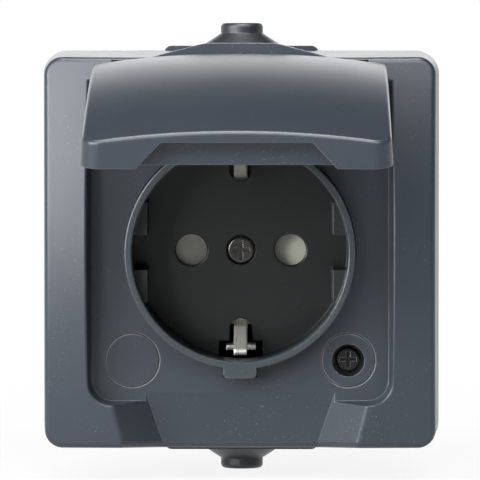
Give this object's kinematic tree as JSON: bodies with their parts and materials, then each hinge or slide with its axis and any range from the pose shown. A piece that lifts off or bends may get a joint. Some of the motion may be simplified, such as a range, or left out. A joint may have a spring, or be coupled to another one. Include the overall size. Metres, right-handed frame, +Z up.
{
  "type": "outdoor weatherproof socket",
  "caption": "Surface-mounted earthed wall socket: square domed housing, round plug well with rim and shutters, hinged weather lid standing open, rubber cable entries above and below.",
  "frame": {"origin": "middle of the flat back face that lies on the wall", "axes": "+Z up the wall, front of the socket towards -Y, +Y into the wall, +X to the right as seen from the front"},
  "size_m": [0.0764, 0.1071, 0.0872],
  "materials": {
    "housing_plastic": "satin anthracite moulded plastic",
    "carrier_plastic": "moulded insulating plastic",
    "seal_rubber": "soft black rubber",
    "grommet_rubber": "soft anthracite rubber",
    "plated_steel": "zinc plated",
    "black_steel": "blackened",
    "nickel_plate": "nickel plated spring strip",
    "contact_brass": "plain brass",
    "shutter_ivory": "ivory moulded plastic"
  },
  "bodies": {
    "housing": {"back_box": "housing_plastic", "front_housing": "housing_plastic", "socket_pot": "housing_plastic", "contact_carrier": "carrier_plastic", "housing_seal": "seal_rubber", "pot_seal": "seal_rubber", "cable_grommet_top": "grommet_rubber", "cable_grommet_bottom": "grommet_rubber", "line_contact": "contact_brass", "neutral_contact": "contact_brass", "line_terminal": "contact_brass", "neutral_terminal": "contact_brass", "earth_terminal": "contact_brass", "earth_bracket": "nickel_plate", "terminal_screws": "plated_steel", "centre_screw": "plated_steel", "carrier_screws": "plated_steel", "cover_screws": "black_steel", "shutter_spring": "plated_steel"},
    "lid": {"lid": "housing_plastic", "lid_seal": "seal_rubber", "lid_hinge_pins": "plated_steel"},
    "shutter": {"shutter": "shutter_ivory"}
  },
  "joints": [
    {"name": "lid_hinge", "type": "hinge", "parent": "housing", "child": "lid", "pos_m": [0, -0.0464, 0.0341], "axis": [-1, 0, 0], "range_deg": [-75.7, 16]},
    {"name": "shutter_turn", "type": "hinge", "parent": "housing", "child": "shutter", "pos_m": [0, -0.0285, 0], "axis": [0, -1, 0], "range_deg": [0, 45], "stiffness_Nm_per_rad": 0.0005}
  ]
}
